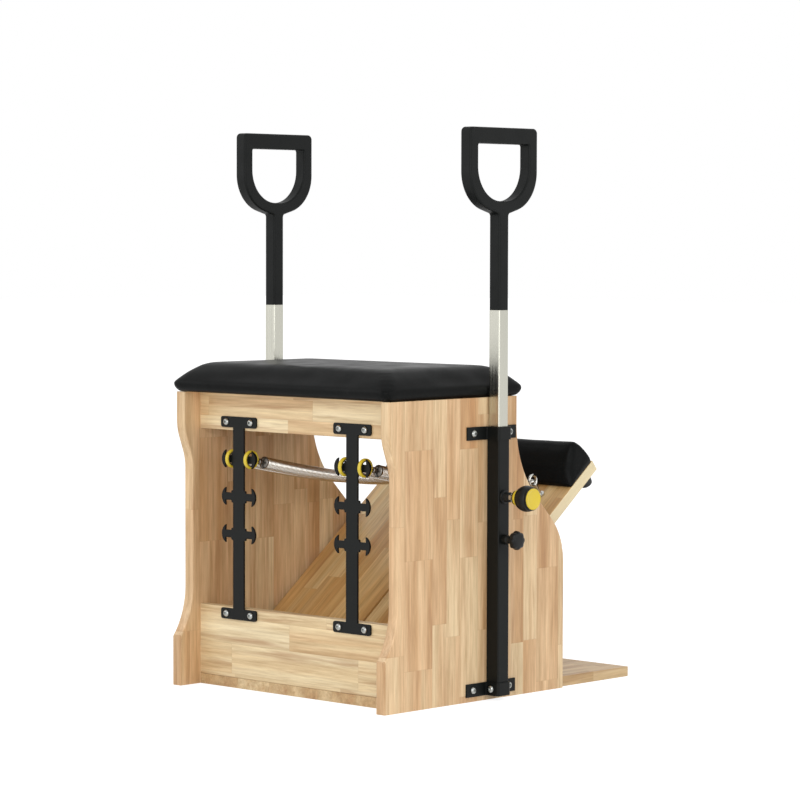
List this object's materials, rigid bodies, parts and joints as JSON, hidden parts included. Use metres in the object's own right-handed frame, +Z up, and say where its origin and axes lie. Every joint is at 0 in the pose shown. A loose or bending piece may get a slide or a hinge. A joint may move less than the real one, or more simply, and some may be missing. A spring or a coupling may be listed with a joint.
{
  "type": "pilates chair",
  "caption": "Wooden exercise chair with a padded seat, hinged spring-loaded foot pedals, steel spring trees at the back and height-adjustable D-shaped side handles.",
  "frame": {"origin": "on the floor, under the middle of the chair's width and depth", "axes": "+Z up, -Y to the front where the pedals are, +X to the sitter's left"},
  "size_m": [0.8326, 0.748, 1.13],
  "materials": {
    "stave_wood": "clear satin lacquer on glued staves",
    "base_wood": "clear satin lacquer on glued staves",
    "plywood": "bare sanded plywood",
    "upholstery": "soft black leatherette with a fine grain",
    "black_steel": "satin black powder coat",
    "silver_tube": "satin silver anodised",
    "bright_steel": "bright zinc and chrome plate",
    "grip_rubber": "matt black moulded grip",
    "black_plastic": "fine moulded grain",
    "yellow_plastic": "smooth moulded",
    "bush_plastic": "plain moulded bush",
    "bumper_rubber": "matt moulded rubber"
  },
  "bodies": {
    "frame": {"side_panel_left": "stave_wood", "side_panel_right": "stave_wood", "top_back_rail": "stave_wood", "bottom_back_rail": "stave_wood", "front_top_rail": "stave_wood", "base_board": "base_wood", "seat_board": "plywood", "seat_cushion": "upholstery", "spring_tree_left": "black_steel", "spring_tree_right": "black_steel", "spring_tree_bolts": "bright_steel", "handle_tube_left": "black_steel", "handle_tube_right": "black_steel", "handle_straps": "black_steel", "strap_bolts": "bright_steel", "plunger_housing_left": "bright_steel", "plunger_housing_right": "bright_steel", "clamp_boss_left": "black_steel", "clamp_boss_right": "black_steel", "hinge_axle": "bright_steel", "axle_bushes": "bush_plastic", "spring_rings": "yellow_plastic", "spring_left_inner": "bright_steel", "spring_left_outer": "bright_steel", "spring_right_inner": "bright_steel", "spring_right_outer": "bright_steel"},
    "handle_left": {"handle_pole_left": "silver_tube", "pole_plug_left": "black_plastic", "handle_grip_left": "grip_rubber"},
    "handle_right": {"handle_pole_right": "silver_tube", "pole_plug_right": "black_plastic", "handle_grip_right": "grip_rubber"},
    "plunger_left": {"plunger_pin_left": "bright_steel", "plunger_core_left": "yellow_plastic", "plunger_grip_left": "black_plastic"},
    "plunger_right": {"plunger_pin_right": "bright_steel", "plunger_core_right": "yellow_plastic", "plunger_grip_right": "black_plastic"},
    "clamp_left": {"clamp_stud_left": "bright_steel", "clamp_knob_left": "black_plastic"},
    "clamp_right": {"clamp_stud_right": "bright_steel", "clamp_knob_right": "black_plastic"},
    "pedal_left": {"pedal_board_left": "stave_wood", "pedal_pad_left": "upholstery", "hinge_brackets_left": "black_steel", "hinge_bushes_left": "bush_plastic", "bracket_screws_left": "bright_steel", "eyebolts_left": "bright_steel", "spring_hooks_left": "bright_steel", "pedal_bumper_left": "bumper_rubber"},
    "pedal_right": {"pedal_board_right": "stave_wood", "pedal_pad_right": "upholstery", "hinge_brackets_right": "black_steel", "hinge_bushes_right": "bush_plastic", "bracket_screws_right": "bright_steel", "eyebolts_right": "bright_steel", "spring_hooks_right": "bright_steel", "pedal_bumper_right": "bumper_rubber"}
  },
  "joints": [
    {"name": "pedal_left_press", "type": "hinge", "parent": "frame", "child": "pedal_left", "pos_m": [0, 0.225, 0.04], "axis": [1, 0, 0], "range_deg": [0, 38], "stiffness_Nm_per_rad": 160, "springref_deg": -6.88, "deforming": ["spring_left_inner", "spring_left_outer"]},
    {"name": "handle_left_slide", "type": "slide", "parent": "frame", "child": "handle_left", "axis": [0, 0, 1], "range_m": [-0.12, 0.12]},
    {"name": "plunger_left_pull", "type": "slide", "parent": "frame", "child": "plunger_left", "axis": [1, 0, 0], "range_m": [0, 0.01], "stiffness_N_per_m": 1500, "springref_m": -0.006},
    {"name": "clamp_left_turn", "type": "hinge", "parent": "frame", "child": "clamp_left", "pos_m": [0.348, 0.068, 0.32], "axis": [1, 0, 0], "range_deg": [0, 720]},
    {"name": "pedal_right_press", "type": "hinge", "parent": "frame", "child": "pedal_right", "pos_m": [0, 0.225, 0.04], "axis": [1, 0, 0], "range_deg": [0, 38], "stiffness_Nm_per_rad": 160, "springref_deg": -6.88, "deforming": ["spring_right_inner", "spring_right_outer"]},
    {"name": "handle_right_slide", "type": "slide", "parent": "frame", "child": "handle_right", "axis": [0, 0, 1], "range_m": [-0.12, 0.12]},
    {"name": "plunger_right_pull", "type": "slide", "parent": "frame", "child": "plunger_right", "axis": [-1, 0, 0], "range_m": [0, 0.01], "stiffness_N_per_m": 1500, "springref_m": -0.006},
    {"name": "clamp_right_turn", "type": "hinge", "parent": "frame", "child": "clamp_right", "pos_m": [-0.348, 0.068, 0.32], "axis": [-1, 0, 0], "range_deg": [0, 720]}
  ]
}
